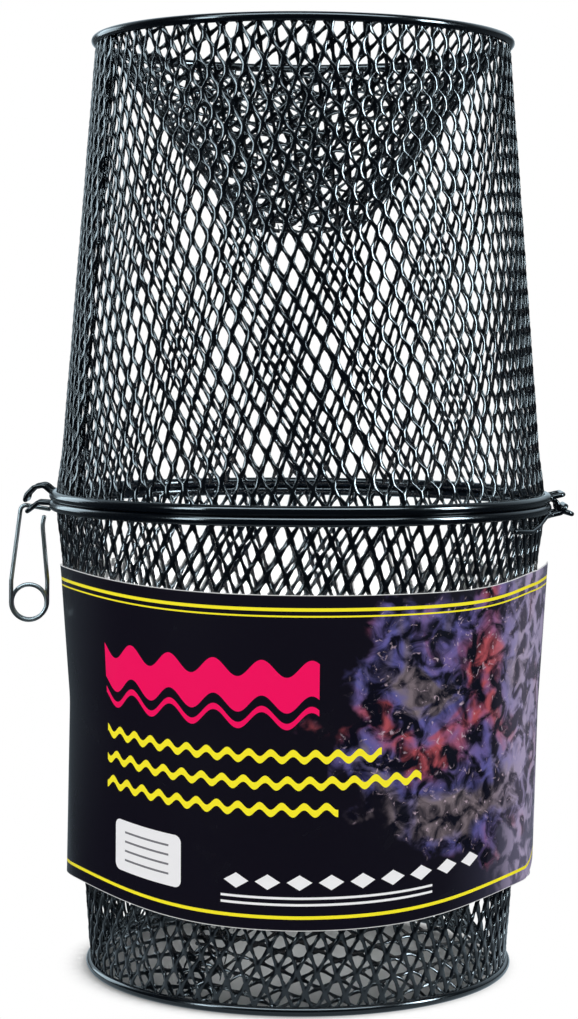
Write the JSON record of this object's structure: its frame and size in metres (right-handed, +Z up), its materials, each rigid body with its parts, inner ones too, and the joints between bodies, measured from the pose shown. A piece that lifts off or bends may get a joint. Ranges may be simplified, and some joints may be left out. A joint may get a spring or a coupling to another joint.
{
  "type": "crayfish trap",
  "caption": "Standing two-part wire-mesh crayfish trap with an inward funnel at each end, hinged at its middle, closed by a spring clip, with a card sleeve.",
  "frame": {"origin": "on the ground plane below the middle of the whole outline; the trap's own axis stands 4 mm towards +X from it, because the clip reaches further out than the hinge", "axes": "+Z up along the trap's axis, from the lower end rim to the upper one; +X towards the hinge, -X towards the spring clip, -Y towards the viewer"},
  "size_m": [0.2567, 0.2274, 0.4191],
  "materials": {
    "lower_basket": "expanded steel mesh dipped in glossy black vinyl",
    "lower_funnel": "expanded steel mesh dipped in glossy black vinyl",
    "lower_end_rim": "round steel wire dipped in glossy black vinyl",
    "lower_seam_rim": "round steel wire dipped in glossy black vinyl",
    "lower_clip_ear": "bent steel wire dipped in glossy black vinyl",
    "hinge_pin_wire": "bent steel wire dipped in glossy black vinyl",
    "label_sleeve": null,
    "upper_basket": "expanded steel mesh dipped in glossy black vinyl",
    "upper_funnel": "expanded steel mesh dipped in glossy black vinyl",
    "upper_end_rim": "round steel wire dipped in glossy black vinyl",
    "upper_seam_rim": "round steel wire dipped in glossy black vinyl",
    "upper_clip_ear": "bent steel wire dipped in glossy black vinyl",
    "hinge_tongue": "bent steel wire dipped in glossy black vinyl",
    "hinge_guide": "bent steel wire dipped in glossy black vinyl",
    "spring_clip": "bright plated spring wire, smooth, with soft reflections"
  },
  "bodies": {
    "lower_half": {"lower_basket": "lower_basket", "lower_funnel": "lower_funnel", "lower_end_rim": "lower_end_rim", "lower_seam_rim": "lower_seam_rim", "lower_clip_ear": "lower_clip_ear", "hinge_pin_wire": "hinge_pin_wire", "label_sleeve": "label_sleeve"},
    "upper_half": {"upper_basket": "upper_basket", "upper_funnel": "upper_funnel", "upper_end_rim": "upper_end_rim", "upper_seam_rim": "upper_seam_rim", "upper_clip_ear": "upper_clip_ear", "hinge_tongue": "hinge_tongue", "hinge_guide": "hinge_guide"},
    "clip": {"spring_clip": "spring_clip"}
  },
  "joints": [
    {"name": "lid_hinge", "type": "hinge", "parent": "lower_half", "child": "upper_half", "pos_m": [0.1242, 0, 0.2079], "axis": [0, 1, 0], "range_deg": [0, 110]},
    {"name": "clip_swing", "type": "hinge", "parent": "lower_half", "child": "clip", "pos_m": [-0.1202, 0, 0.2039], "axis": [0, 1, 0], "range_deg": [-6, 48]}
  ]
}
